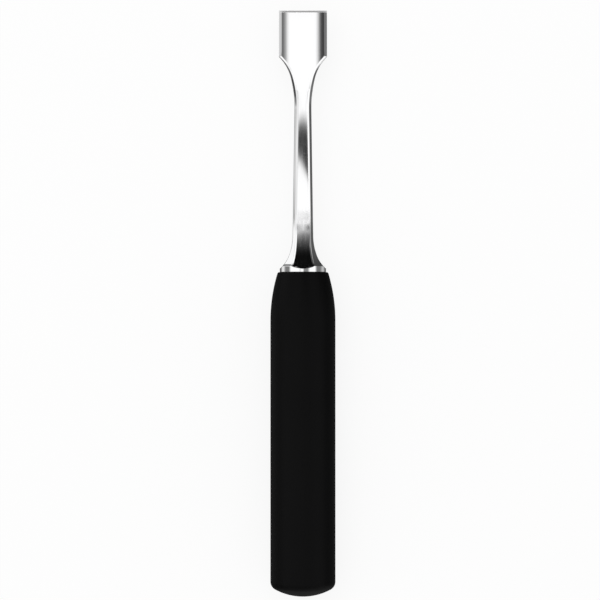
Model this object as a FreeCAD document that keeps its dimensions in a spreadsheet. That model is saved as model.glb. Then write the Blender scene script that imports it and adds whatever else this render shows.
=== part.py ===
"""Osteotome: a bone chisel forged in one piece, held by its tang in a turned handle.

Lengths are in millimetres and angles in degrees. The tool lies along Y with its cutting edge
towards +Y. X runs across the blade and Z through its thickness. While a piece is drawn, its
lengths along Y count from the front face of the handle and its middle line is the Y axis. Its
placement then centres the tool and lays it on the handle's lowest line.
"""

import FreeCAD, Part
import os
import Sketcher

# How a sketch's constraint names its own axes, its origin and the two ends of an edge
H_AXIS, V_AXIS = range(-1, -3, -1)
START, END, CENTRE = range(1, 4)
ORIGIN = (H_AXIS, START)

doc = FreeCAD.newDocument("Osteotome")

# Driving sizes

SIZES = [
    ("blade_reach", 89.3, "front face of the handle to the cutting edge"),
    ("blade_length", 15.7, "cutting edge to the corners of the shoulders"),
    ("blade_width", 16.4, "width of the cutting edge"),
    ("wedge_angle", 4.0, "slope of each ground face to the middle plane"),
    ("edge_bevel_length", 0.6, "honed bevel at the cutting edge"),
    ("edge_bevel_thickness", 0.36, "thickness of the blade where the honed bevel begins"),
    ("blade_border", 1.0, "eased border along the blade, before grinding"),
    ("border_angle", 7.0, "slope of the eased border to the face"),
    ("grinding_allowance", 0.02, "skin that the grinding takes off beside the border"),
    ("grinding_overrun", 0.2, "forging that stands past the cutting edge before grinding"),
    ("grinding_lead", 3.0, "way that the grinding runs on past the ground face"),
    ("shoulder_radius", 15.5, "hollow of the shoulder next to the blade"),
    ("root_radius", 45.0, "hollow of the shoulder next to the neck"),
    ("root_angle", 13.3, "slope at which the two hollows meet"),
    ("shoulder_corner", 0.1, "corner cut that is left where the shoulder meets the blade"),
    ("neck_width", 5.76, "neck at its narrowest"),
    ("neck_thickness", 4.35, "neck at its narrowest, face to face"),
    ("neck_side_taper", 0.83, "slope of each side of the neck"),
    ("neck_face_taper", 0.93, "slope of each face of the neck"),
    ("neck_corner", 0.85, "corner cut of the neck, at 45 degrees"),
    ("neck_border", 0.55, "eased border along the faces of the neck"),
    ("crown_rise", 0.03, "crown of a forged face over its own width"),
    ("side_flare_radius", 20.0, "hollow of the bolster's sides next to the neck"),
    ("side_flare_angle", 20.0, "slope at which that hollow tightens"),
    ("side_rim_angle", 50.0, "slope of the bolster's sides where they reach the rim"),
    ("face_flare_radius", 40.0, "hollow of the bolster's faces next to the neck"),
    ("face_flare_angle", 24.0, "slope at which that hollow tightens"),
    ("face_rim_angle", 60.0, "slope of the bolster's faces where they reach the rim"),
    ("flange_diameter", 15.8, "round flange that bears on the handle"),
    ("rim_height", 1.2, "straight rim of the flange"),
    ("flange_corner", 3.4, "corner cut of the bolster where it reaches the rim"),
    ("flange_border", 0.6, "eased border of the bolster where it reaches the rim"),
    ("tang_width", 6.0, "square tang at the flange"),
    ("tang_tip_width", 4.0, "square tang where its point begins"),
    ("tang_point_width", 1.0, "blunt end of the tang's point"),
    ("tang_length", 65.0, "tang with its point"),
    ("tang_point_length", 5.0, "point of the tang"),
    ("socket_clearance", 0.03, "gap between the tang and its socket in the handle"),
    ("handle_length", 110.7, "front face of the handle to the top of its domed butt"),
    ("handle_diameter", 22.2, "straight part of the handle"),
    ("nose_diameter", 17.2, "nose of the handle at its front face"),
    ("nose_length", 16.5, "front face of the handle to its straight part"),
    ("nose_edge_radius", 0.7, "rounding of the front edge of the handle"),
    ("butt_dome_radius", 20.0, "dome of the butt, which the mallet strikes"),
    ("butt_edge_radius", 3.0, "rounding round the dome"),
]

sizes = doc.addObject("Spreadsheet::Sheet", "Sizes")
for row, (alias, size, meaning) in enumerate(SIZES, start=1):
    sizes.set(f"A{row}", alias)
    sizes.set(f"B{row}", str(size))
    sizes.setAlias(f"B{row}", alias)
    sizes.set(f"C{row}", meaning)
doc.recompute()

# Places and centres that follow from the driving sizes

layout = doc.addObject("App::VarSet", "Layout")


def work_out(name, expression):
    """Keep a value that follows from the sizes as a live property of the layout."""
    layout.addProperty("App::PropertyFloat", name)
    layout.setExpression(name, expression)
    layout.recompute()


def number(expression):
    """The present value of an expression, so that a sketch is drawn in its true place."""
    return float(layout.evalExpression(expression))


work_out("corner_y", "Sizes.blade_reach - Sizes.blade_length")
work_out("bevel_y", "Sizes.blade_reach - Sizes.edge_bevel_length")
work_out("flange_r", "Sizes.flange_diameter / 2")

# The shoulder in plan: two hollows, tangent to each other and to the side of the neck
work_out("root_sink", "Sizes.root_radius * (cos(Sizes.neck_side_taper) - cos(Sizes.root_angle))")
work_out("shoulder_sink", "Sizes.blade_width / 2 - Sizes.neck_width / 2 - root_sink")
work_out("corner_cos", "cos(Sizes.root_angle) - shoulder_sink / Sizes.shoulder_radius")
work_out("corner_sin", "sqrt(1 - corner_cos^2)")
work_out("blend_y", "corner_y - Sizes.shoulder_radius * (corner_sin - sin(Sizes.root_angle))")
work_out("root_run", "Sizes.root_radius * (sin(Sizes.root_angle) + sin(Sizes.neck_side_taper))")
work_out("root_y", "blend_y - root_run")
work_out("shoulder_centre_y", "blend_y - Sizes.shoulder_radius * sin(Sizes.root_angle)")
work_out("shoulder_centre_x", "Sizes.blade_width / 2 + Sizes.shoulder_radius * corner_cos")
work_out("root_centre_y", "root_y + Sizes.root_radius * sin(Sizes.neck_side_taper)")
work_out("root_centre_x", "Sizes.neck_width / 2 + Sizes.root_radius * cos(Sizes.neck_side_taper)")


def work_out_flare(name, neck_size, taper):
    """The bolster in one view: two hollows, tangent to each other and to the tapered neck.

    The wide one leaves the neck, and the tight one, whose radius follows, reaches the rim.
    """
    radius = f"Sizes.{name}_flare_radius"
    blend = f"Sizes.{name}_flare_angle"
    rim = f"Sizes.{name}_rim_angle"
    work_out(f"{name}_run", f"{radius} * (sin({blend}) - sin({taper}))")
    work_out(f"{name}_sink", f"{radius} * (cos({taper}) - cos({blend}))")
    neck_run = f"(root_y - Sizes.rim_height - {name}_run)"
    work_out(f"{name}_rise", f"flange_r - {neck_size} / 2 - {neck_run} * tan({taper})")
    work_out(f"{name}_rim_sin", f"sin({rim}) - sin({blend})")
    work_out(f"{name}_rim_cos", f"cos({blend}) - cos({rim})")
    fall = f"({name}_rim_cos - {name}_rim_sin * tan({taper}))"
    work_out(f"{name}_rim_radius", f"({name}_rise - {name}_sink) / {fall}")
    work_out(f"{name}_blend_y", f"Sizes.rim_height + {name}_rim_radius * {name}_rim_sin")
    work_out(f"{name}_blend_r", f"flange_r - {name}_rim_radius * {name}_rim_cos")
    work_out(f"{name}_start_y", f"{name}_blend_y + {name}_run")
    for part, arc_radius in (("flare", radius), ("rim", f"{name}_rim_radius")):
        work_out(f"{name}_{part}_centre_y", f"{name}_blend_y + {arc_radius} * sin({blend})")
        work_out(f"{name}_{part}_centre_r", f"{name}_blend_r + {arc_radius} * cos({blend})")


work_out_flare("side", "Sizes.neck_width", "Sizes.neck_side_taper")
work_out_flare("face", "Sizes.neck_thickness", "Sizes.neck_face_taper")
work_out("flare_y", "max(side_start_y; face_start_y)")
work_out("flare_half_width", "Sizes.neck_width / 2 + (root_y - flare_y) * tan(Sizes.neck_side_taper)")

# The ground wedge meets the face of the neck here
work_out("wedge_slope", "tan(Sizes.wedge_angle)")
work_out("face_slope", "tan(Sizes.neck_face_taper)")
work_out("wedge_rise", "Sizes.edge_bevel_thickness / 2 + bevel_y * wedge_slope")
work_out("neck_rise", "Sizes.neck_thickness / 2 + root_y * face_slope")
work_out("ground_y", "(wedge_rise - neck_rise) / (wedge_slope - face_slope)")

# Stations of the forging, from the rim of the flange to the corners of the shoulders

FLARE_SHARES = (0.0, 0.025, 0.055, 0.09, 0.14, 0.2, 0.28, 0.38, 0.5, 0.64, 0.8, 1.0)
ROOT_SHARES = (0.0, 0.2, 0.4, 0.6, 0.8)
SHOULDER_SHARES = (0.0, 0.2, 0.4, 0.6, 0.8, 1.0)


def hollow(radius, centre_y, centre_r, y):
    """Distance from the middle line to an arc whose centre lies outside the tool."""
    return f"{centre_r} - sqrt({radius}^2 - ({y} - {centre_y})^2)"


def flare(name, neck_size, slope, y):
    """Half width or half thickness of the neck and bolster."""
    neck = f"{neck_size} / 2 + (root_y - {y}) * {slope}"
    wide = hollow(f"Sizes.{name}_flare_radius", f"{name}_flare_centre_y", f"{name}_flare_centre_r", y)
    tight = hollow(f"{name}_rim_radius", f"{name}_rim_centre_y", f"{name}_rim_centre_r", y)
    return f"{y} > {name}_start_y ? {neck} : ({y} > {name}_blend_y ? {wide} : {tight})"


def station(name, y, half_width, face_height, growth, corner, border):
    """Work out one section of the forging. growth runs from 0 to 1 along its group."""
    work_out(f"{name}_y", y)
    work_out(f"{name}_half_width", half_width)
    work_out(f"{name}_growth", growth)
    work_out(f"{name}_corner", corner)
    work_out(f"{name}_border", border)
    work_out(f"{name}_drop", f"{name}_border * tan(Sizes.border_angle)")
    work_out(f"{name}_face_height", face_height)
    work_out(f"{name}_face", f"{name}_half_width - {name}_corner - {name}_border")
    return name


def neck_station(name, y):
    """A section of the neck or bolster, whose corner cuts widen towards the flange."""
    return station(
        name,
        y,
        flare("side", "Sizes.neck_width", "tan(Sizes.neck_side_taper)", f"{name}_y"),
        f"({flare('face', 'Sizes.neck_thickness', 'face_slope', f'{name}_y')}) - Sizes.crown_rise",
        f"max(0; ({name}_half_width - flare_half_width) / (flange_r - flare_half_width))",
        f"Sizes.neck_corner + (Sizes.flange_corner - Sizes.neck_corner) * {name}_growth",
        f"Sizes.neck_border + (Sizes.flange_border - Sizes.neck_border) * {name}_growth",
    )


def shoulder_station(name, y, half_width):
    """A section of the shoulder, whose corner cuts run out towards the blade."""
    neck_face = f"neck_rise - {name}_y * face_slope - Sizes.crown_rise"
    wedge_face = f"wedge_rise - {name}_y * wedge_slope + Sizes.grinding_allowance"
    return station(
        name,
        y,
        half_width,
        f"min({neck_face}; {wedge_face})",
        f"({name}_y - root_y) / (corner_y - root_y)",
        f"Sizes.neck_corner + (Sizes.shoulder_corner - Sizes.neck_corner) * {name}_growth^2",
        f"Sizes.neck_border + (Sizes.blade_border - Sizes.neck_border)"
        f" * min(1; ({name}_y - root_y) / (ground_y - root_y))",
    )


bolster_stations = []
for index, share in enumerate(FLARE_SHARES):
    y = f"Sizes.rim_height + {share} * (flare_y - Sizes.rim_height)"
    bolster_stations.append(neck_station(f"flare_{index}", y))
shoulder_stations = []
for index, share in enumerate(ROOT_SHARES):
    y = f"root_y + {share} * (blend_y - root_y)"
    arc = hollow("Sizes.root_radius", "root_centre_y", "root_centre_x", f"root_{index}_y")
    shoulder_stations.append(shoulder_station(f"root_{index}", y, arc))
for index, share in enumerate(SHOULDER_SHARES):
    y = f"blend_y + {share} * (corner_y - blend_y)"
    arc = hollow("Sizes.shoulder_radius", "shoulder_centre_y", "shoulder_centre_x", f"shoulder_{index}_y")
    shoulder_stations.append(shoulder_station(f"shoulder_{index}", y, arc))

# The blade before grinding, at its two ends
for name, y in (("blade_back", "corner_y"), ("blade_front", "Sizes.blade_reach + Sizes.grinding_overrun")):
    work_out(f"{name}_y", y)
    work_out(f"{name}_face_height", f"wedge_rise - {name}_y * wedge_slope + Sizes.grinding_allowance")
    work_out(f"{name}_side_height", f"{name}_face_height - Sizes.blade_border * tan(Sizes.border_angle)")

doc.recompute()

# Sketches


def new_body(label):
    """A body for one piece, placed so that the whole tool is centred and lies on its handle."""
    body = doc.addObject("PartDesign::Body", label)
    body.Label = label
    body.setExpression("Placement.Base.y", "(Sizes.handle_length - Sizes.blade_reach) / 2")
    body.setExpression("Placement.Base.z", "Sizes.handle_diameter / 2")
    return body


def new_sketch(body, name, role):
    """A sketch on one of the body's own origin planes."""
    plane = next(feature for feature in body.Origin.OriginFeatures if feature.Role == role)
    sketch = body.newObject("Sketcher::SketchObject", name)
    sketch.AttachmentSupport = (plane, [""])
    sketch.MapMode = "FlatFace"
    return sketch


def bind(sketch, name, expression, kind, *geometry):
    """Add a named dimension and tie it to the sizes."""
    index = sketch.addConstraint(Sketcher.Constraint(kind, *geometry, number(expression)))
    sketch.renameConstraint(index, name)
    sketch.setExpression(f"Constraints.{name}", expression)


def link(sketch, kind, *geometry):
    """Add a constraint that has no dimension."""
    sketch.addConstraint(Sketcher.Constraint(kind, *geometry))


def vector(point):
    """A point of a sketch."""
    return FreeCAD.Vector(point[0], point[1], 0)


def ring(sketch, points, arcs=None, smooth=()):
    """Draw a closed outline through the points.

    arcs gives a middle point for the edges that are arcs, and smooth the edges that run into
    the next one without a corner.
    """
    arcs = arcs or {}
    for edge, start in enumerate(points):
        end = points[(edge + 1) % len(points)]
        if edge in arcs:
            sketch.addGeometry(Part.Arc(vector(start), vector(arcs[edge]), vector(end)))
        else:
            sketch.addGeometry(Part.LineSegment(vector(start), vector(end)))
    for edge in range(len(points)):
        kind = "Tangent" if edge in smooth else "Coincident"
        link(sketch, kind, edge, END, (edge + 1) % len(points), START)


def section(body, name, y, corners, crown_rise=None):
    """A section across the tool, the same in all four quarters.

    corners gives the points (x, z) of one quarter as expressions, from the side to the face.
    With a crown_rise the two faces are shallow arcs that rise by that much over their width.
    """
    sketch = new_sketch(body, name, "XZ_Plane")
    sketch.setExpression("AttachmentOffset.Base.z", f"-({y})")
    quarter = [(number(x), number(z)) for x, z in corners]
    back = quarter[::-1]
    points = quarter + [(-x, z) for x, z in back]
    points += [(-x, -z) for x, z in quarter] + [(x, -z) for x, z in back]
    count = len(quarter)
    faces = (count - 1, 3 * count - 1)
    arcs = {}
    if crown_rise:
        crown = quarter[-1][1] + number(crown_rise)
        arcs = dict(zip(faces, ((0, crown), (0, -crown))))
    ring(sketch, points, arcs)
    for corner in range(count):
        left = 2 * count - 1 - corner
        link(sketch, "Symmetric", corner, START, left, START, V_AXIS)
        link(sketch, "Symmetric", corner, START, 4 * count - 1 - corner, START, H_AXIS)
        link(sketch, "Symmetric", left, START, 2 * count + corner, START, H_AXIS)
    for corner, (x, z) in enumerate(corners):
        bind(sketch, f"corner_{corner}_x", x, "DistanceX", *ORIGIN, corner, START)
        bind(sketch, f"corner_{corner}_z", z, "DistanceY", *ORIGIN, corner, START)
    if crown_rise:
        half_face = f"({corners[-1][0]})"
        radius = f"({half_face}^2 + {crown_rise}^2) / (2 * {crown_rise})"
        for side, face in enumerate(faces):
            bind(sketch, f"crown_radius_{side}", radius, "Radius", face)
    return sketch


def loft(body, kind, name, profiles, ruled):
    """A loft through the profiles, straight between them or smooth."""
    feature = body.newObject(kind, name)
    feature.Profile = profiles[0]
    feature.Sections = profiles[1:]
    feature.Ruled = ruled
    doc.recompute()
    return feature


# The forged blade

blade = new_body("blade")

# Bolster, neck and shoulders, with eased borders and cut corners


def forged_section(name):
    """The section of the forging at one of its stations."""
    half_width = f"Layout.{name}_half_width"
    face_height = f"Layout.{name}_face_height"
    drop = f"Layout.{name}_drop"
    corner = f"Layout.{name}_corner"
    quarter = [
        (half_width, f"{face_height} - {drop} - {corner}"),
        (f"{half_width} - {corner}", f"{face_height} - {drop}"),
        (f"Layout.{name}_face", face_height),
    ]
    return section(blade, f"{name}_section", f"Layout.{name}_y", quarter, "Sizes.crown_rise")


bolster_sections = [forged_section(name) for name in bolster_stations]
shoulder_sections = [forged_section(name) for name in shoulder_stations]
neck_ends = [bolster_sections[-1], shoulder_sections[0]]
bolster = loft(blade, "PartDesign::AdditiveLoft", "bolster", bolster_sections, False)
neck = loft(blade, "PartDesign::AdditiveLoft", "neck", neck_ends, True)
shoulders = loft(blade, "PartDesign::AdditiveLoft", "shoulders", shoulder_sections, False)

# Blade before grinding, a little proud of its final faces
profiles = []
for name in ("blade_back", "blade_front"):
    quarter = [
        ("Sizes.blade_width / 2", f"Layout.{name}_side_height"),
        ("Sizes.blade_width / 2 - Sizes.blade_border", f"Layout.{name}_face_height"),
    ]
    profiles.append(section(blade, f"{name}_section", f"Layout.{name}_y", quarter))
blade_blank = loft(blade, "PartDesign::AdditiveLoft", "blade_blank", profiles, True)

# Both faces are ground to a wedge, which runs out in a rounded line on the crowned neck, and
# the cutting edge gets a short honed bevel on each side
work_out("lead_y", "ground_y - Sizes.grinding_lead")
work_out("lead_height", "wedge_rise - lead_y * wedge_slope")
work_out("past_edge_y", "Sizes.blade_reach + 2 * Sizes.grinding_overrun")
doc.recompute()
grinding_points = [
    ("Layout.lead_y", "Layout.lead_height"),
    ("Layout.bevel_y", "Sizes.edge_bevel_thickness / 2"),
    ("Sizes.blade_reach", "0"),
    ("Layout.past_edge_y", "Layout.flange_r"),
    ("Layout.lead_y", "Layout.flange_r"),
]
outline = new_sketch(blade, "grinding_outline", "YZ_Plane")
lead, bevel, edge, past_edge, above = [(number(y), number(z)) for y, z in grinding_points]
mirrored = [(y, -z) for y, z in (bevel, lead, above, past_edge)]
ring(outline, [lead, bevel, edge] + mirrored + [past_edge, above])
for upper, lower in ((0, 4), (1, 3), (7, 6), (8, 5)):
    link(outline, "Symmetric", upper, START, lower, START, H_AXIS)
link(outline, "PointOnObject", 2, START, H_AXIS)
link(outline, "Horizontal", 7)
link(outline, "Vertical", 8)
bind(outline, "lead_y", "Layout.lead_y", "DistanceX", *ORIGIN, 0, START)
bind(outline, "lead_height", "Layout.lead_height", "DistanceY", *ORIGIN, 0, START)
bind(outline, "bevel_y", "Layout.bevel_y", "DistanceX", *ORIGIN, 1, START)
bind(outline, "bevel_height", "Sizes.edge_bevel_thickness / 2", "DistanceY", *ORIGIN, 1, START)
bind(outline, "blade_reach", "Sizes.blade_reach", "DistanceX", *ORIGIN, 2, START)
bind(outline, "past_edge_y", "Layout.past_edge_y", "DistanceX", *ORIGIN, 7, START)
bind(outline, "clear_height", "Layout.flange_r", "DistanceY", *ORIGIN, 7, START)
grinding = blade.newObject("PartDesign::Pocket", "grinding")
grinding.Profile = outline
grinding.SideType = "Symmetric"
grinding.Type = "Length"
grinding.setExpression("Length", "2 * Sizes.blade_width")
doc.recompute()

# Round flange
circle = new_sketch(blade, "flange_circle", "XZ_Plane")
circle.addGeometry(Part.Circle(vector((0, 0)), FreeCAD.Vector(0, 0, 1), number("flange_r")))
link(circle, "Coincident", 0, CENTRE, *ORIGIN)
bind(circle, "flange_diameter", "Sizes.flange_diameter", "Diameter", 0)
flange = blade.newObject("PartDesign::Pad", "flange")
flange.Profile = circle
flange.Reversed = True
flange.setExpression("Length", "Sizes.rim_height")
doc.recompute()

# The corners of the bolster are turned down to the flange, which leaves a scalloped rim
rim = new_sketch(blade, "rim_outline", "XY_Plane")
inner = number("flange_r")
top = number("flare_y")
ring(rim, [(inner, 0), (2 * inner, 0), (2 * inner, top), (inner, top)])
link(rim, "Horizontal", 0)
link(rim, "Vertical", 1)
link(rim, "Horizontal", 2)
link(rim, "Vertical", 3)
link(rim, "PointOnObject", 0, START, H_AXIS)
bind(rim, "flange_radius", "Layout.flange_r", "DistanceX", *ORIGIN, 0, START)
bind(rim, "clear_radius", "2 * Layout.flange_r", "DistanceX", *ORIGIN, 1, START)
bind(rim, "clear_length", "Layout.flare_y", "DistanceY", *ORIGIN, 2, START)
turning = blade.newObject("PartDesign::Groove", "rim_turning")
turning.Profile = rim
turning.ReferenceAxis = (rim, ["V_Axis"])
turning.Angle = 360
doc.recompute()


def tang_sections(body, name, clearance):
    """The squares of the tang, or of its socket with a clearance all round."""
    point_y = "-(Sizes.tang_length - Sizes.tang_point_length)"
    places = (
        ("root", "0", "Sizes.tang_width"),
        ("tip", point_y, "Sizes.tang_tip_width"),
        ("point", f"-(Sizes.tang_length + {clearance})", "Sizes.tang_point_width"),
    )
    squares = []
    for place, y, width in places:
        half = f"{width} / 2 + {clearance}"
        squares.append(section(body, f"{name}_{place}", y, [(half, half)]))
    return squares


tang = loft(blade, "PartDesign::AdditiveLoft", "tang", tang_sections(blade, "tang", "0"), True)

# The turned handle

handle = new_body("handle")
work_out("handle_r", "Sizes.handle_diameter / 2")
work_out("butt_sink", "Sizes.butt_dome_radius - sqrt(Sizes.butt_dome_radius^2 - handle_r^2)")
work_out("butt_y", "butt_sink - Sizes.handle_length")
work_out("nose_sink", "handle_r - Sizes.nose_diameter / 2")
work_out("nose_radius", "(Sizes.nose_length^2 + nose_sink^2) / (2 * nose_sink)")
doc.recompute()
profile = new_sketch(handle, "handle_profile", "XY_Plane")
handle_r = number("handle_r")
nose_r = number("Sizes.nose_diameter / 2")
nose_y = -number("Sizes.nose_length")
butt_y = number("butt_y")
end_y = -number("Sizes.handle_length")
nose_centre = handle_r - number("nose_radius")
nose_middle = (nose_centre + (number("nose_radius")**2 - nose_y**2 / 4)**0.5, nose_y / 2)
dome_centre = end_y + number("Sizes.butt_dome_radius")
dome_middle = (handle_r / 2, dome_centre - (number("Sizes.butt_dome_radius")**2 - handle_r**2 / 4)**0.5)
corners = [(0, end_y), (handle_r, butt_y), (handle_r, nose_y), (nose_r, 0), (0, 0)]
ring(profile, corners, {0: dome_middle, 2: nose_middle}, smooth=(1,))
link(profile, "PointOnObject", 0, CENTRE, V_AXIS)
link(profile, "PointOnObject", 0, START, V_AXIS)
link(profile, "Vertical", 1)
link(profile, "Coincident", 4, START, *ORIGIN)
link(profile, "Horizontal", 3)
bind(profile, "handle_length", "Sizes.handle_length", "DistanceY", 0, START, *ORIGIN)
bind(profile, "handle_radius", "Layout.handle_r", "DistanceX", *ORIGIN, 1, START)
bind(profile, "nose_length", "Sizes.nose_length", "DistanceY", 2, START, *ORIGIN)
bind(profile, "nose_radius", "Sizes.nose_diameter / 2", "DistanceX", *ORIGIN, 3, START)
bind(profile, "butt_dome_radius", "Sizes.butt_dome_radius", "Radius", 0)
turned = handle.newObject("PartDesign::Revolution", "turned_handle")
turned.Profile = profile
turned.ReferenceAxis = (profile, ["V_Axis"])
turned.Angle = 360
doc.recompute()


def round_edge(body, base, name, radius, y):
    """Round the circular edge of a turned piece that lies at y."""
    close = 0.001
    edges = []
    for index, edge in enumerate(base.Shape.Edges, start=1):
        box = edge.BoundBox
        if box.YLength < close and abs(box.YMin - y) < close:
            edges.append(f"Edge{index}")
    feature = body.newObject("PartDesign::Fillet", name)
    feature.Base = (base, edges)
    feature.setExpression("Radius", radius)
    doc.recompute()
    return feature


nose_edge = round_edge(handle, turned, "nose_edge", "Sizes.nose_edge_radius", 0)
butt_edge = round_edge(handle, nose_edge, "butt_edge", "Sizes.butt_edge_radius", butt_y)
socket_squares = tang_sections(handle, "socket", "Sizes.socket_clearance")
socket = loft(handle, "PartDesign::SubtractiveLoft", "socket", socket_squares, True)

# Checks before anything is written

doc.recompute()
for item in doc.Objects:
    if "Invalid" in item.State or "Error" in item.State:
        raise RuntimeError(f"{item.Label} could not be built")
for cut in (grinding, turning, socket):
    if cut.Shape.Volume >= cut.BaseFeature.Shape.Volume:
        raise RuntimeError(f"{cut.Label} removes nothing")

os.makedirs("parts", exist_ok=True)
for body in (blade, handle):
    shape = body.Shape
    if shape.isNull() or not shape.isValid() or len(shape.Solids) != 1:
        raise RuntimeError(f"{body.Label} is not one valid solid")
    shape.exportStep(f"parts/{body.Label}.step")
    box = shape.BoundBox
    print(body.Label, "volume", round(shape.Volume, 2), "box", [round(v, 3) for v in (
        box.XMin, box.YMin, box.ZMin, box.XMax, box.YMax, box.ZMax)])
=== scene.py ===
"""Osteotome: a bone chisel with a mirror-polished steel blade in a turned black handle.

The tool lies along Y with its cutting edge towards +Y. X runs across the blade and Z through
its thickness. The forging and the handle are drawn in millimetres, with Y counted from the
front face of the handle and the tool's middle line as the Y axis, and are then set in place.
"""

from math import asin, atan2, cos, hypot, pi, radians, sin, sqrt, tan

import bmesh
import bpy
from mathutils import Matrix, Vector


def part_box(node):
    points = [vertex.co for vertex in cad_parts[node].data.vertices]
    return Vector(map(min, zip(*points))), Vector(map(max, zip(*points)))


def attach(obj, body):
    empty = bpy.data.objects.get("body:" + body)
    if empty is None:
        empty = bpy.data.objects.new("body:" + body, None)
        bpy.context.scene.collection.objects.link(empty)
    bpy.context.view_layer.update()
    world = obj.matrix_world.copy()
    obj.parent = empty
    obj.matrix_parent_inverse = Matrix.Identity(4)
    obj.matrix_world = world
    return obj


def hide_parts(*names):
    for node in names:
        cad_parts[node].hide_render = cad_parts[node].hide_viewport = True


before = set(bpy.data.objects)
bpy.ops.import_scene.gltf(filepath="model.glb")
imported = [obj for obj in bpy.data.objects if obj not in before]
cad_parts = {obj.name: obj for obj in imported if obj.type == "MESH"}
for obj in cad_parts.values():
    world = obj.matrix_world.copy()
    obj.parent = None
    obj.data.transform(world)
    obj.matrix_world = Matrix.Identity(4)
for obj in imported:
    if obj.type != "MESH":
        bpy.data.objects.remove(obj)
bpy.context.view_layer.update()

# The frame's own measures of the two pieces

MM = 0.001
blade_low, blade_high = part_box("blade")
handle_low, handle_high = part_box("handle")
front_y = handle_high.y
axis_z = (handle_low.z + handle_high.z) / 2
in_place = Matrix.Translation((0, front_y, axis_z)) @ Matrix.Scale(MM, 4)

blade_reach = (blade_high.y - front_y) / MM
blade_half_width = blade_high.x / MM
flange_r = (blade_high.z - blade_low.z) / 2 / MM
tang_length = (front_y - blade_low.y) / MM
handle_r = handle_high.x / MM
handle_length = (front_y - handle_low.y) / MM

# Sizes of the forging, in millimetres and radians

BLADE_LENGTH = 15.7
WEDGE_ANGLE = radians(4)
HONED_LENGTH = 0.6
HONED_HALF_THICKNESS = 0.18
BLADE_BORDER = 0.84
BLADE_BORDER_SLOPE = 0.1
# Where the neck's border widens to the blade's, from the corner of the shoulder
BORDER_WIDENS = (-0.6, 1.2)
BLADE_CORNER = 0.1
SHOULDER_RADIUS = 15.5
SHOULDER_EASE = 0.08
ROOT_RADIUS = 45
ROOT_ANGLE = radians(13.3)
NECK_HALF_WIDTH = 2.88
NECK_HALF_THICKNESS = 2.175
NECK_SIDE_TAPER = radians(0.83)
NECK_FACE_TAPER = radians(0.93)
NECK_CORNER = 0.85
NECK_BORDER = 0.55
BORDER_SLOPE = tan(radians(7))
CROWN_RISE = 0.03
# Lowest crest of the scalloped rim, and a place above its highest one
RIM_HEIGHT = 1.2
RIM_TOP = 4.5
FLANGE_CORNER = 3.4
FLANGE_BORDER = 0.6
FLANGE_BREAK = 0.12
# Radius of the wide hollow, its slope where the tight one takes over, and the slope at the rim
SIDE_FLARE = (20, radians(20), radians(50))
FACE_FLARE = (40, radians(24), radians(60))
TANG_HALF_WIDTHS = (3, 2, 0.5)
TANG_POINT_LENGTH = 5
SOCKET_CLEARANCE = 0.03

# Buffing rounds the edges a little and rolls the ground faces over towards their borders. HOLD is
# how near the rows and lines beside an edge lie, so that the flats stay flat.
EDGE_EASE = 0.07
SIDE_EASE = 0.16
CREST_EASE = 0.1
GRIND_EASE = 0.006
HOLD = 0.012
BUFFED_BAND = 3.1
BUFFED_SLOPE = tan(radians(1.65))

corner_y = blade_reach - BLADE_LENGTH
honed_y = blade_reach - HONED_LENGTH
root_sink = ROOT_RADIUS * (cos(NECK_SIDE_TAPER) - cos(ROOT_ANGLE))
shoulder_sink = blade_half_width - NECK_HALF_WIDTH - root_sink
shoulder_cos = cos(ROOT_ANGLE) - shoulder_sink / SHOULDER_RADIUS
shoulder_sin = sqrt(1 - shoulder_cos**2)
blend_y = corner_y - SHOULDER_RADIUS * (shoulder_sin - sin(ROOT_ANGLE))
root_y = blend_y - ROOT_RADIUS * (sin(ROOT_ANGLE) + sin(NECK_SIDE_TAPER))


def share(start, end, value):
    """How far value lies on the way from start to end, from 0 to 1."""
    return min(1, max(0, (value - start) / (end - start)))


def eased_min(first, second, ease):
    """The lower of two heights, with the corner between them rounded over."""
    blend = share(-ease, ease, second - first)
    return second + (first - second) * blend - ease * blend * (1 - blend)


def hollow(radius, centre_y, centre_r, y):
    """Distance from the middle line to an arc whose centre lies outside the tool."""
    return centre_r - sqrt(radius**2 - (y - centre_y)**2)


def flare(neck_half_size, taper, radius, turn, rim_turn):
    """The bolster in one view: a wide and a tight hollow from the neck to the rim.

    Gives the half size as a function of y, and where the hollows start.
    """
    run = radius * (sin(turn) - sin(taper))
    sink = radius * (cos(taper) - cos(turn))
    rise = flange_r - neck_half_size - (root_y - RIM_HEIGHT - run) * tan(taper)
    rim_sin = sin(rim_turn) - sin(turn)
    rim_cos = cos(turn) - cos(rim_turn)
    rim_radius = (rise - sink) / (rim_cos - rim_sin * tan(taper))
    turn_y = RIM_HEIGHT + rim_radius * rim_sin
    turn_r = flange_r - rim_radius * rim_cos

    def half_size(y):
        if y > turn_y + run:
            return neck_half_size + (root_y - y) * tan(taper)
        arc = radius if y > turn_y else rim_radius
        return hollow(arc, turn_y + arc * sin(turn), turn_r + arc * cos(turn), y)

    return half_size, turn_y + run


side_flare, side_start_y = flare(NECK_HALF_WIDTH, NECK_SIDE_TAPER, *SIDE_FLARE)
face_flare, face_start_y = flare(NECK_HALF_THICKNESS, NECK_FACE_TAPER, *FACE_FLARE)
flare_y = max(side_start_y, face_start_y)
flare_half_width = side_flare(flare_y)


def neck_height(y):
    """Crest of the forged face between the bolster and the blade."""
    return NECK_HALF_THICKNESS + (root_y - y) * tan(NECK_FACE_TAPER)


def wedge_height(y):
    """Height of the ground face over the middle plane."""
    return HONED_HALF_THICKNESS + (honed_y - y) * tan(WEDGE_ANGLE)


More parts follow.
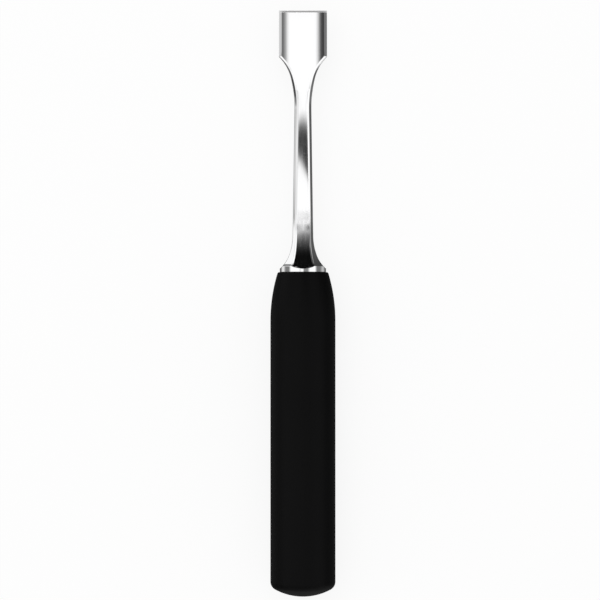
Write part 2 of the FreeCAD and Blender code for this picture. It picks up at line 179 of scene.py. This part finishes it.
def half_width(y, inset=0):
    """Outline of the forging in plan, or a line drawn inside it at the distance inset."""
    if y < root_y:
        return side_flare(y) - inset
    if y < blend_y + inset * sin(ROOT_ANGLE):
        centre_y = root_y + ROOT_RADIUS * sin(NECK_SIDE_TAPER)
        centre_x = NECK_HALF_WIDTH + ROOT_RADIUS * cos(NECK_SIDE_TAPER)
        return hollow(ROOT_RADIUS + inset, centre_y, centre_x, y)
    centre_y = blend_y - SHOULDER_RADIUS * sin(ROOT_ANGLE)
    centre_x = blade_half_width + SHOULDER_RADIUS * shoulder_cos
    shoulder = hollow(SHOULDER_RADIUS + inset, centre_y, centre_x, min(y, corner_y + 1))
    return eased_min(shoulder, blade_half_width - inset, SHOULDER_EASE)


def face_height(x, face, y):
    """Height of the upper face over the middle plane at x, where face is its half width."""
    crown = CROWN_RISE * (x / face)**2
    if y < root_y:
        return face_flare(y) - crown
    height = eased_min(neck_height(y) - crown, wedge_height(y), GRIND_EASE)
    roll = share(BUFFED_BAND, 0, blade_half_width - BLADE_BORDER - x)
    return height - BUFFED_SLOPE * BUFFED_BAND / 2 * roll**2


# Lines over the face and over a rounded edge, as shares of the way
FACE_SHARES = (0.96, 0.92, 0.88, 0.84, 0.8, 0.75, 0.7, 0.65, 0.6, 0.45, 0.3, 0.15, 0)
EASE_SHARES = (0, 0.25, 0.5, 0.75, 1)


def toward(start, end, distance):
    """The point that far from start on the way to end."""
    return start + (end - start) * (distance / (end - start).length)


def eased(before, corner, after, reach):
    """A rounded corner, held on both sides so that the flats beside it stay flat."""
    start, end = toward(corner, before, reach), toward(corner, after, reach)
    arc = [start.lerp(corner, t).lerp(corner.lerp(end, t), t) for t in EASE_SHARES]
    return [toward(start, before, HOLD), *arc, toward(end, after, HOLD)]


def quarter(y):
    """One quarter of the section at y, from the middle of the side to the middle of the face."""
    width = half_width(y)
    if y < root_y:
        growth = share(flare_half_width, flange_r, width)
        corner = NECK_CORNER + (FLANGE_CORNER - NECK_CORNER) * growth
        border = NECK_BORDER + (FLANGE_BORDER - NECK_BORDER) * growth
        drop = border * BORDER_SLOPE
    else:
        growth = share(root_y, corner_y, y)
        corner = NECK_CORNER + (BLADE_CORNER - NECK_CORNER) * growth**3
        widened = share(*(corner_y + reach for reach in BORDER_WIDENS), y)
        border = NECK_BORDER + (BLADE_BORDER - NECK_BORDER) * widened
        drop = border * (BORDER_SLOPE + (BLADE_BORDER_SLOPE - BORDER_SLOPE) * growth)
    face = half_width(y, corner + border)
    side = Vector((width, 0))
    brink = Vector((face, face_height(face, face, y)))
    shelf = Vector((half_width(y, corner), brink.y - drop))
    ledge = Vector((width, shelf.y - corner))
    inner = Vector((face - HOLD, face_height(face - HOLD, face, y)))
    points = [side, side.lerp(ledge, 0.5)]
    points += eased(side, ledge, shelf, min(SIDE_EASE, corner / 3))
    points += eased(ledge, shelf, brink, min(EDGE_EASE, corner / 4))
    points += [toward(brink, shelf, HOLD), brink, inner]
    points += [Vector((face * part, face_height(face * part, face, y))) for part in FACE_SHARES]
    honed = max(0, (blade_reach - y) * HONED_HALF_THICKNESS / HONED_LENGTH)
    return [Vector((point.x, y, max(0, min(point.y, honed)))) for point in points]


def steps(start, end, count):
    """count places from after start up to end."""
    return [start + (end - start) * (step + 1) / count for step in range(count)]


# How near, in millimetres, counts as met
CLOSE = 0.001


def crest(line):
    """Where one lengthwise line of the bolster meets the turned flange."""
    low, high = RIM_HEIGHT, RIM_TOP
    while high - low > CLOSE:
        middle = (low + high) / 2
        point = quarter(middle)[line]
        if hypot(point.x, point.z) > flange_r:
            low = middle
        else:
            high = middle
    point = quarter(high)[line]
    scale = flange_r / hypot(point.x, point.z)
    return Vector((point.x * scale, high, point.z * scale))


BOLSTER_FOOT_ROWS = 14


def flange_rows():
    """Rows of the flange and the foot of the bolster, with an eased, scalloped crest."""
    lines = []
    for line in range(len(quarter(RIM_TOP))):
        top = crest(line)
        inset = 1 - FLANGE_BREAK / flange_r
        low = Vector((top.x, top.y - CREST_EASE, top.z))
        high = quarter(top.y + CREST_EASE)[line]
        points = [Vector((top.x * inset, 0, top.z * inset)), Vector((top.x, FLANGE_BREAK, top.z))]
        points += [Vector((top.x, FLANGE_BREAK + HOLD, top.z)), low - Vector((0, HOLD, 0))]
        points += [low.lerp(top, t).lerp(top.lerp(high, t), t) for t in EASE_SHARES]
        foot_y = high.y + HOLD
        places = (foot_y, *steps(foot_y, RIM_TOP, BOLSTER_FOOT_ROWS))
        points += [quarter(y)[line] for y in places]
        lines.append(points)
    return [list(row) for row in zip(*lines)]


# Reach of the closely spaced rows before and after the corner of the shoulder
CORNER_BEFORE, CORNER_AFTER = 0.3, 0.7
# Where each stretch of the forging ends and how many rows it has
STRETCHES = (
    (flare_y, 40), (root_y, 12), (blend_y, 60), (corner_y - CORNER_BEFORE, 40),
    (corner_y + CORNER_AFTER, 20), (honed_y - HOLD, 12), (honed_y, 1), (honed_y + HOLD, 1),
    (blade_reach, 6))


def blade_rows():
    """All rows across one quarter of the forging, from the flange to the cutting edge."""
    places = [RIM_TOP]
    for end, count in STRETCHES:
        places += steps(places[-1], end, count)
    return flange_rows() + [quarter(y) for y in places[1:]]


def skin(bm, rows):
    """Draw the first row as a chain of edges and extrude it from row to row."""
    line = bm.verts.layers.int.new("line")
    verts = [bm.verts.new(point) for point in rows[0]]
    for index, vert in enumerate(verts):
        vert[line] = index
    edges = [bm.edges.new(pair) for pair in zip(verts, verts[1:])]
    for row in rows[1:]:
        made = bmesh.ops.extrude_edge_only(bm, edges=edges)["geom"]
        edges = [item for item in made if isinstance(item, bmesh.types.BMEdge)]
        for item in made:
            if isinstance(item, bmesh.types.BMVert):
                item.co = row[item[line]]


MERGE = 1e-5
SHARP_ANGLE = radians(35)


def mirror(bm, axis):
    """Add the other half, joined along the middle."""
    geometry = bm.verts[:] + bm.edges[:] + bm.faces[:]
    bmesh.ops.mirror(bm, geom=geometry, matrix=Matrix.Identity(4), merge_dist=MERGE, axis=axis)


def open_loop(bm, y):
    """The edges of an open border that lies at y."""
    return [e for e in bm.edges if e.is_boundary and all(abs(v.co.y - y) < CLOSE for v in e.verts)]


def add_square_taper(bm, half_widths, ends):
    """The square tang, or the walls of its socket, closed at the point. Gives its open loop."""
    turned = Matrix.Rotation(pi / 2, 4, "X") @ Matrix.Rotation(pi / 4, 4, "Z")
    ring = bmesh.ops.create_circle(bm, segments=4, radius=half_widths[0] * sqrt(2), matrix=turned)
    edges = list({edge for vert in ring["verts"] for edge in vert.link_edges})
    mouth = edges
    for wide, narrow, start, end in zip(half_widths, half_widths[1:], ends, ends[1:]):
        made = bmesh.ops.extrude_edge_only(bm, edges=edges)["geom"]
        verts = [item for item in made if isinstance(item, bmesh.types.BMVert)]
        edges = [item for item in made if isinstance(item, bmesh.types.BMEdge)]
        bmesh.ops.scale(bm, vec=(narrow / wide, 1, narrow / wide), verts=verts)
        bmesh.ops.translate(bm, vec=(0, end - start, 0), verts=verts)
    bmesh.ops.contextual_create(bm, geom=edges)
    return mouth


def finish_piece(bm, name, node, material):
    """Close the mesh, set it in place and stand it in for its solid."""
    bmesh.ops.remove_doubles(bm, verts=bm.verts, dist=MERGE)
    bmesh.ops.dissolve_degenerate(bm, edges=bm.edges, dist=MERGE)
    bmesh.ops.transform(bm, matrix=in_place, verts=bm.verts)
    bmesh.ops.recalc_face_normals(bm, faces=bm.faces)
    mesh = bpy.data.meshes.new(name)
    bm.to_mesh(mesh)
    bm.free()
    mesh.shade_smooth()
    mesh.set_sharp_from_angle(angle=SHARP_ANGLE)
    mesh.materials.append(material)
    piece = bpy.data.objects.new(name, mesh)
    bpy.context.scene.collection.objects.link(piece)
    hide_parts(node)
    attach(piece, "root")
    return piece


def make_blade(steel):
    """The forging: blade, neck, bolster, flange and tang in one piece."""
    bm = bmesh.new()
    skin(bm, blade_rows())
    mirror(bm, "X")
    mirror(bm, "Z")
    tang_ends = (0, TANG_POINT_LENGTH - tang_length, -tang_length)
    mouth = add_square_taper(bm, TANG_HALF_WIDTHS, tang_ends)
    outer = [edge for edge in open_loop(bm, 0) if edge not in mouth]
    bmesh.ops.bridge_loops(bm, edges=outer + mouth)
    return finish_piece(bm, "forged_blade", "blade", steel)


# Sizes of the handle, in millimetres

NOSE_R = 8.6
NOSE_LENGTH = 16.5
NOSE_EDGE_RADIUS = 0.7
DOME_RADIUS = 20
BUTT_EDGE_RADIUS = 3
HANDLE_SIDES = 160
BUTT_STEPS = 14
NOSE_STEPS = 18
NOSE_EDGE_STEPS = 8


def turn_arc(bm, vert, centre, angle, count):
    """Draw an arc from vert round a centre in the plane of the profile. Gives its last vertex."""
    swept = bmesh.ops.spin(
        bm, geom=[vert], cent=(*centre, 0), axis=(0, 0, 1), angle=angle, steps=count)["geom_last"]
    return next(item for item in swept if isinstance(item, bmesh.types.BMVert))


def draw_handle_profile(bm):
    """Half profile from the pole of the domed butt to the front face."""
    dome_y = DOME_RADIUS - handle_length
    edge_x = handle_r - BUTT_EDGE_RADIUS
    edge_sink = sqrt((DOME_RADIUS - BUTT_EDGE_RADIUS)**2 - edge_x**2)
    edge_turn = atan2(edge_sink, edge_x)
    sink = handle_r - NOSE_R
    nose_radius = (NOSE_LENGTH**2 + sink**2) / (2 * sink)
    inner = nose_radius - NOSE_EDGE_RADIUS
    nose_turn = asin((NOSE_LENGTH - NOSE_EDGE_RADIUS) / inner)
    nose_x = handle_r - nose_radius
    edge_centre = (nose_x + inner * cos(nose_turn), -NOSE_EDGE_RADIUS)
    vert = bm.verts.new((0, -handle_length, 0))
    vert = turn_arc(bm, vert, (0, dome_y), pi / 2 - edge_turn, BUTT_STEPS)
    vert = turn_arc(bm, vert, (edge_x, dome_y - edge_sink), edge_turn, BUTT_STEPS)
    vert = bmesh.ops.extrude_vert_indiv(bm, verts=[vert])["verts"][0]
    bmesh.ops.translate(bm, vec=(0, -NOSE_LENGTH - vert.co.y, 0), verts=[vert])
    vert = turn_arc(bm, vert, (nose_x, -NOSE_LENGTH), nose_turn, NOSE_STEPS)
    turn_arc(bm, vert, edge_centre, pi / 2 - nose_turn, NOSE_EDGE_STEPS)


def make_handle(black):
    """The turned handle with the socket for the tang."""
    bm = bmesh.new()
    draw_handle_profile(bm)
    bmesh.ops.spin(
        bm, geom=bm.verts[:] + bm.edges[:], cent=(0, 0, 0), axis=(0, 1, 0), angle=2 * pi,
        steps=HANDLE_SIDES, use_merge=True)
    bmesh.ops.remove_doubles(bm, verts=bm.verts, dist=MERGE)
    half_widths = [half + SOCKET_CLEARANCE for half in TANG_HALF_WIDTHS]
    socket_ends = (0, TANG_POINT_LENGTH - tang_length, -tang_length - SOCKET_CLEARANCE)
    mouth = add_square_taper(bm, half_widths, socket_ends)
    outer = [edge for edge in open_loop(bm, 0) if edge not in mouth]
    bmesh.ops.bridge_loops(bm, edges=outer + mouth)
    return finish_piece(bm, "turned_handle", "handle", black)


# Materials


def new_node(tree, kind, **settings):
    """A node with its settings made."""
    node = tree.nodes.new(kind)
    for name, value in settings.items():
        setattr(node, name, value)
    return node


def feed(tree, socket, value):
    """Link a socket to another one, or set its own value."""
    if isinstance(value, bpy.types.NodeSocket):
        tree.links.new(value, socket)
    else:
        socket.default_value = value


def calculate(tree, operation, *values):
    """A Math node on sockets or numbers."""
    node = new_node(tree, "ShaderNodeMath", operation=operation)
    for socket, value in zip(node.inputs, values):
        feed(tree, socket, value)
    return node.outputs["Value"]


def smooth_share(tree, value, start, end):
    """0 before start and 1 after end, with a soft passage between them."""
    node = new_node(tree, "ShaderNodeMapRange", interpolation_type="SMOOTHSTEP")
    feed(tree, node.inputs["Value"], value)
    node.inputs["From Min"].default_value = start
    node.inputs["From Max"].default_value = end
    return node.outputs["Result"]


def mixed(tree, factor, first, second):
    """A mix of two numbers."""
    node = new_node(tree, "ShaderNodeMix", data_type="FLOAT")
    feed(tree, node.inputs[0], factor)
    feed(tree, node.inputs[2], first)
    feed(tree, node.inputs[3], second)
    return node.outputs[0]


def streaks(tree, grain, detail):
    """Noise on object coordinates, with its own grain along each axis, in lines for each metre."""
    place = new_node(tree, "ShaderNodeTexCoord")
    mapping = new_node(tree, "ShaderNodeMapping")
    mapping.inputs["Scale"].default_value = grain
    noise = new_node(tree, "ShaderNodeTexNoise")
    noise.inputs["Scale"].default_value = 1
    noise.inputs["Detail"].default_value = detail
    tree.links.new(place.outputs["Object"], mapping.inputs["Vector"])
    tree.links.new(mapping.outputs["Vector"], noise.inputs["Vector"])
    return noise.outputs["Fac"]


def graded(tree, value, stops):
    """A tone that follows value from stop to stop."""
    low, high = stops[0][0], stops[-1][0]
    scaled = new_node(tree, "ShaderNodeMapRange")
    feed(tree, scaled.inputs["Value"], value)
    scaled.inputs["From Min"].default_value = low
    scaled.inputs["From Max"].default_value = high
    ramp = new_node(tree, "ShaderNodeValToRGB")
    for place, _ in stops[1:-1]:
        ramp.color_ramp.elements.new((place - low) / (high - low))
    for element, (_, tone) in zip(ramp.color_ramp.elements, stops):
        element.color = (tone, tone, tone, 1)
    tree.links.new(scaled.outputs["Result"], ramp.inputs["Fac"])
    return ramp.outputs["Color"]


def new_material(name):
    """A new material, its node tree and its shader."""
    material = bpy.data.materials.new(name)
    material.use_nodes = True
    tree = material.node_tree
    return material, tree, tree.nodes["Principled BSDF"]


def bump(tree, shader, height, distance):
    """Raise the surface by a height of up to distance, in metres."""
    node = new_node(tree, "ShaderNodeBump")
    node.inputs["Strength"].default_value = 1
    node.inputs["Distance"].default_value = distance
    tree.links.new(height, node.inputs["Height"])
    tree.links.new(node.outputs["Normal"], shader.inputs["Normal"])


STEEL_COLOUR = (0.9, 0.9, 0.905, 1)
HONED_ROUGHNESS = 0.38
# Polishing lines along the tool: lines for each metre on each axis, and their depth in metres
FINE_LINES = (2600, 60, 400)
BROAD_LINES = (900, 40, 200)
LINE_DEPTH = 4e-7
# How much the lines change the roughness, and the part of the noise over which they do
BROAD_CHANGE = (0.9, 1.15)
FINE_CHANGE = (0.75, 1.3)
NOISE_MIDDLE = (0.3, 0.7)
# Roughness of the steel along the tool, by Y in metres: dullest at the top of the bolster
BUFFING = (
    (0.0107, 0.05), (0.017, 0.05), (0.0215, 0.09), (0.026, 0.15), (0.0285, 0.17), (0.0303, 0.12),
    (0.0322, 0.04), (0.0345, 0.024), (0.1, 0.024))


def polished_steel():
    """Stainless steel, buffed to a mirror, duller on the bolster and honed at the cutting edge."""
    material, tree, shader = new_material("mirror_polished_steel")
    shader.inputs["Base Color"].default_value = STEEL_COLOUR
    shader.inputs["Metallic"].default_value = 1
    parts = new_node(tree, "ShaderNodeSeparateXYZ")
    tree.links.new(new_node(tree, "ShaderNodeTexCoord").outputs["Object"], parts.inputs[0])
    y = parts.outputs["Y"]
    fine = streaks(tree, FINE_LINES, 3)
    broad = streaks(tree, BROAD_LINES, 2)
    finish = graded(tree, y, BUFFING)
    broadly = mixed(tree, smooth_share(tree, broad, *NOISE_MIDDLE), *BROAD_CHANGE)
    finely = mixed(tree, smooth_share(tree, fine, *NOISE_MIDDLE), *FINE_CHANGE)
    roughness = calculate(tree, "MULTIPLY", finish, calculate(tree, "MULTIPLY", broadly, finely))
    bevel_y = blade_high.y - HONED_LENGTH * MM
    honed = smooth_share(tree, y, bevel_y - HOLD * MM, bevel_y)
    roughness = mixed(tree, honed, roughness, HONED_ROUGHNESS)
    tree.links.new(roughness, shader.inputs["Roughness"])
    bump(tree, shader, fine, LINE_DEPTH)
    return material


HANDLE_COLOUR = (0.0015, 0.0015, 0.0016, 1)
HANDLE_SHEEN = 0.075
# Fine grain and broad patches, in lines for each metre on each axis, the grain's depth in metres,
# and the roughness that the patches vary between
HANDLE_GRAIN = (4200, 3600, 4200)
HANDLE_PATCHES = (90, 40, 90)
GRAIN_DEPTH = 8e-6
HANDLE_ROUGHNESS = (0.4, 0.54)


def black_handle():
    """Black turned handle, satin and very finely grained."""
    material, tree, shader = new_material("black_handle")
    shader.inputs["Base Color"].default_value = HANDLE_COLOUR
    shader.inputs["Specular IOR Level"].default_value = HANDLE_SHEEN
    grain = streaks(tree, HANDLE_GRAIN, 4)
    patches = streaks(tree, HANDLE_PATCHES, 3)
    roughness = mixed(tree, patches, *HANDLE_ROUGHNESS)
    tree.links.new(roughness, shader.inputs["Roughness"])
    bump(tree, shader, grain, GRAIN_DEPTH)
    return material


# Studio

FLOOR_SIZE = 6
FLOOR_COLOUR = (0.95, 0.95, 0.95, 1)
FLOOR_GLOW = 0.86


def make_floor():
    """A plain white table that keeps a faint shadow."""
    bm = bmesh.new()
    bmesh.ops.create_grid(bm, x_segments=1, y_segments=1, size=FLOOR_SIZE / 2)
    mesh = bpy.data.meshes.new("table")
    bm.to_mesh(mesh)
    bm.free()
    material, tree, shader = new_material("white_table")
    shader.inputs["Base Color"].default_value = FLOOR_COLOUR
    shader.inputs["Roughness"].default_value = 1
    shader.inputs["Specular IOR Level"].default_value = 0
    glow = new_node(tree, "ShaderNodeEmission")
    mix = new_node(tree, "ShaderNodeMixShader")
    seen = new_node(tree, "ShaderNodeLightPath").outputs["Is Camera Ray"]
    tree.links.new(calculate(tree, "MULTIPLY", seen, FLOOR_GLOW), mix.inputs[0])
    tree.links.new(shader.outputs[0], mix.inputs[1])
    tree.links.new(glow.outputs[0], mix.inputs[2])
    tree.links.new(mix.outputs[0], tree.nodes["Material Output"].inputs["Surface"])
    mesh.materials.append(material)
    table = bpy.data.objects.new("table", mesh)
    table.visible_glossy = False
    bpy.context.scene.collection.objects.link(table)


# The studio that the steel mirrors. A place in it is named by the slope, across and along, of the
# steel that mirrors it to a camera straight above: the zenith is at 0 and the horizon at 1.

SKY = 1.12
# Soft cards over the blade, from left to right: slope across and tone
BLADE_CARDS = (
    (-0.16, 0.78), (-0.122, 0.7), (-0.06, 0.3), (-0.0265, 0.153), (-0.0234, 0.216),
    (-0.0202, 0.323), (-0.0171, 0.407), (-0.0138, 0.624), (-0.0107, 0.807), (-0.0075, 0.905),
    (-0.0045, 1), (0.004, 1), (0.0058, 0.863), (0.009, 0.73), (0.0122, 0.571), (0.0154, 0.332),
    (0.0185, 0.168), (0.0218, 0.089), (0.0249, 0.063), (0.0281, 0.05), (0.0312, 0.056),
    (0.06, 0.08), (0.123, 0.22), (0.16, 0.28))
BLADE_CARDS_ALONG = (0.08, 0.1, 0.13, 0.15)
# The dark bar over the neck: slope along and tone of its near and far side, its reach across and
# how much its near side slants
NECK_BAR_NEAR = (
    (0.0378, 1), (0.0388, 0.75), (0.0394, 0.4), (0.04, 0.15), (0.0407, 0.07), (0.042, 0.045),
    (0.05, 0.04))
NECK_BAR_FAR = (
    (0.04, 0), (0.0445, 0.04), (0.0453, 0.08), (0.0461, 0.18), (0.0468, 0.4), (0.0475, 0.68),
    (0.0486, 1))
NECK_BAR_ACROSS = (-0.09, -0.06, 0.06, 0.09)
NECK_BAR_SLANT = 0.05
# Short cards over the rim of the flange and beside the neck: slopes across and along, and tone
SHORT_CARDS = (
    ((0.01, 0.04, 0.2, 0.32), (-0.03, -0.004, 0.01, 0.028), 0.22),
    ((-0.17, -0.14, -0.11, -0.08), (-0.03, 0, 0.05, 0.07), 0.76),
)
# The dark screen beyond the cutting edge: slope along and tone, from its top to its foot, and then
# the same from its middle to its sides, by across for each along
SCREEN = (
    (0.118, 1), (0.13, 0.8), (0.153, 0.37), (0.185, 0.18), (0.222, 0.1), (0.259, 0.054),
    (0.296, 0.025), (0.335, 0.008), (0.384, 0.003))
SCREEN_SIDES = (
    (-0.24, 1), (-0.14, 0), (0.14, 0), (0.25, 0.06), (0.5, 0.15), (1.2, 0.25), (4, 0.25), (6, 1))
LEAST_ALONG = 0.001
# Broad banks that shade the studio's walls: degrees from X towards Y, slopes and tone
BANKS = (
    ((112, 130, 155, 168), (0.3, 0.45, 0.7, 0.9), 0.42),
    ((195, 215, 325, 345), (0.12, 0.3, 0.6, 0.95), 0.45),
    ((12, 25, 60, 68), (0.28, 0.42, 0.6, 0.8), 0.85),
)
# Round the horizon: degrees and tone, and the slopes between which it takes over
HORIZON = (
    (0, 0.17), (1, 0.17), (3, 0.1), (27, 0.08), (55, 0.09), (72, 0.03), (82, 0.003), (98, 0.003),
    (106, 0.5), (120, 0.95), (173.6, 0.95), (174.6, 0.42), (175.4, 0.47), (176.3, 0.86),
    (177, 0.4), (178, 0.16), (179.4, 0.3), (180.2, 0.12), (182, 0.05), (185, 0.055), (190, 0.1),
    (200, 0.14), (215, 0.16), (240, 0.5), (270, 0.8), (315, 0.9), (330, 0.85), (336, 0.3),
    (340, 0.14), (350, 0.1), (360, 0.17))
HORIZON_RISE = (0.76, 0.92)
# Below the horizon, which the rounded outer edges mirror
BELOW = (
    (0, 0.5), (1.6, 0.45), (4, 0.15), (9, 0.06), (60, 0.05), (110, 0.05), (120, 0.95),
    (152, 0.95), (160, 0.08), (176, 0.1), (178.6, 0.8), (181, 0.8), (185, 0.2), (195, 0.08),
    (225, 0.08), (245, 0.4), (300, 0.5), (328, 0.4), (338, 0.1), (352, 0.06), (357, 0.2),
    (360, 0.5))
BELOW_RISE = (1.08, 1.3)
# The dark foot of the screen, by degrees and slopes, and the ground by slopes
FOOT_ROUND = (45, 60, 150, 160)
FOOT_RISE = (1.33, 1.47)
FOOT_TONE = 0.05
GROUND_RISE = (1.8, 3.4)
GROUND_TONE = 0.12


def between(tree, value, start, full, last, end):
    """1 from full to last, and 0 before start and after end."""
    rise = smooth_share(tree, value, start, full)
    return calculate(tree, "MINIMUM", rise, smooth_share(tree, value, end, last))


def studio_slopes(tree):
    """Where a direction lies in the studio: slopes across, along and in all, and degrees."""
    place = new_node(tree, "ShaderNodeTexCoord")
    parts = new_node(tree, "ShaderNodeSeparateXYZ")
    tree.links.new(place.outputs["Generated"], parts.inputs[0])
    x, y, z = parts.outputs
    # A little over 1, so that straight down isn't a division by nothing
    scale = calculate(tree, "ADD", z, 1.0001)
    across = calculate(tree, "DIVIDE", x, scale)
    along = calculate(tree, "DIVIDE", y, scale)
    squares = [calculate(tree, "POWER", part, 2) for part in (across, along)]
    slope = calculate(tree, "SQRT", calculate(tree, "ADD", *squares))
    turn = calculate(tree, "DIVIDE", calculate(tree, "ARCTAN2", y, x), 2 * pi)
    degrees = calculate(tree, "MULTIPLY", calculate(tree, "FRACT", turn), 360)
    return across, along, slope, degrees


def shaded(tree, tone, first, first_reach, second, second_reach, shade):
    """The tone with a soft-edged card in it, over one reach in each of two measures."""
    card = calculate(
        tree, "MINIMUM", between(tree, first, *first_reach), between(tree, second, *second_reach))
    return mixed(tree, card, tone, shade)


def studio_tone(tree):
    """Brightness of the studio that the steel mirrors."""
    across, along, slope, degrees = studio_slopes(tree)
    cards = graded(tree, across, BLADE_CARDS)
    tone = mixed(tree, between(tree, along, *BLADE_CARDS_ALONG), 1, cards)
    slant = calculate(tree, "MULTIPLY", across, NECK_BAR_SLANT)
    near = graded(tree, calculate(tree, "ADD", along, slant), NECK_BAR_NEAR)
    bar = calculate(tree, "MAXIMUM", near, graded(tree, along, NECK_BAR_FAR))
    under_bar = calculate(tree, "MINIMUM", tone, bar)
    tone = mixed(tree, between(tree, across, *NECK_BAR_ACROSS), tone, under_bar)
    for across_reach, along_reach, shade in SHORT_CARDS:
        tone = shaded(tree, tone, across, across_reach, along, along_reach, shade)
    side = calculate(tree, "DIVIDE", across, calculate(tree, "MAXIMUM", along, LEAST_ALONG))
    screen = calculate(
        tree, "MAXIMUM", graded(tree, along, SCREEN), graded(tree, side, SCREEN_SIDES))
    tone = calculate(tree, "MINIMUM", tone, screen)
    for round_about, heights, shade in BANKS:
        tone = shaded(tree, tone, degrees, round_about, slope, heights, shade)
    rise = smooth_share(tree, slope, *HORIZON_RISE)
    tone = mixed(tree, rise, tone, graded(tree, degrees, HORIZON))
    rise = smooth_share(tree, slope, *BELOW_RISE)
    tone = mixed(tree, rise, tone, graded(tree, degrees, BELOW))
    rise = smooth_share(tree, slope, *FOOT_RISE)
    foot = calculate(tree, "MINIMUM", between(tree, degrees, *FOOT_ROUND), rise)
    tone = mixed(tree, foot, tone, FOOT_TONE)
    tone = mixed(tree, smooth_share(tree, slope, *GROUND_RISE), tone, GROUND_TONE)
    return calculate(tree, "MULTIPLY", tone, SKY)


PLAIN_LIGHT = 0.75


def make_world():
    """White to the camera, the studio to the steel, and plain soft light to everything else."""
    world = bpy.data.worlds.new("studio")
    bpy.context.scene.world = world
    world.use_nodes = True
    tree = world.node_tree
    path = new_node(tree, "ShaderNodeLightPath")
    tone = mixed(tree, path.outputs["Is Glossy Ray"], PLAIN_LIGHT, studio_tone(tree))
    tone = mixed(tree, path.outputs["Is Camera Ray"], tone, 1)
    background = tree.nodes["Background"]
    tree.links.new(tone, background.inputs["Strength"])
    background.inputs["Color"].default_value = (1, 1, 1, 1)


LAMP_SIZE = 1.2
LAMP_POWER = 5
LAMP_PLACE = Vector((-0.3, 0.4, 1.3))


def make_lamp():
    """One large soft box over the table."""
    light = bpy.data.lights.new("soft_box", "AREA")
    light.size = LAMP_SIZE
    light.energy = LAMP_POWER
    lamp = bpy.data.objects.new("soft_box", light)
    lamp.location = LAMP_PLACE
    lamp.rotation_euler = (-LAMP_PLACE).to_track_quat("-Z", "Y").to_euler()
    lamp.visible_glossy = False
    bpy.context.scene.collection.objects.link(lamp)


# The photograph's frame is 204.9 mm wide in the plane of the tool's axis
CAMERA_HEIGHT = 1.0
FRAME_WIDTH = 0.2049
FRAME_CENTRE = (-0.001, 0.0012)
SENSOR_WIDTH = 36
VIEW_STARTS, VIEW_ENDS = 0.05, 10


def make_camera():
    """Straight above the tool, with the cutting edge at the top of the picture."""
    camera = bpy.data.cameras.new("camera")
    camera.sensor_width = SENSOR_WIDTH
    camera.lens = SENSOR_WIDTH * CAMERA_HEIGHT / FRAME_WIDTH
    camera.clip_start = VIEW_STARTS
    camera.clip_end = VIEW_ENDS
    holder = bpy.data.objects.new("camera", camera)
    holder.location = (*FRAME_CENTRE, axis_z + CAMERA_HEIGHT)
    bpy.context.scene.collection.objects.link(holder)
    bpy.context.scene.camera = holder


bpy.context.scene.view_settings.view_transform = "Standard"
make_camera()
make_blade(polished_steel())
make_handle(black_handle())
make_floor()
make_world()
make_lamp()
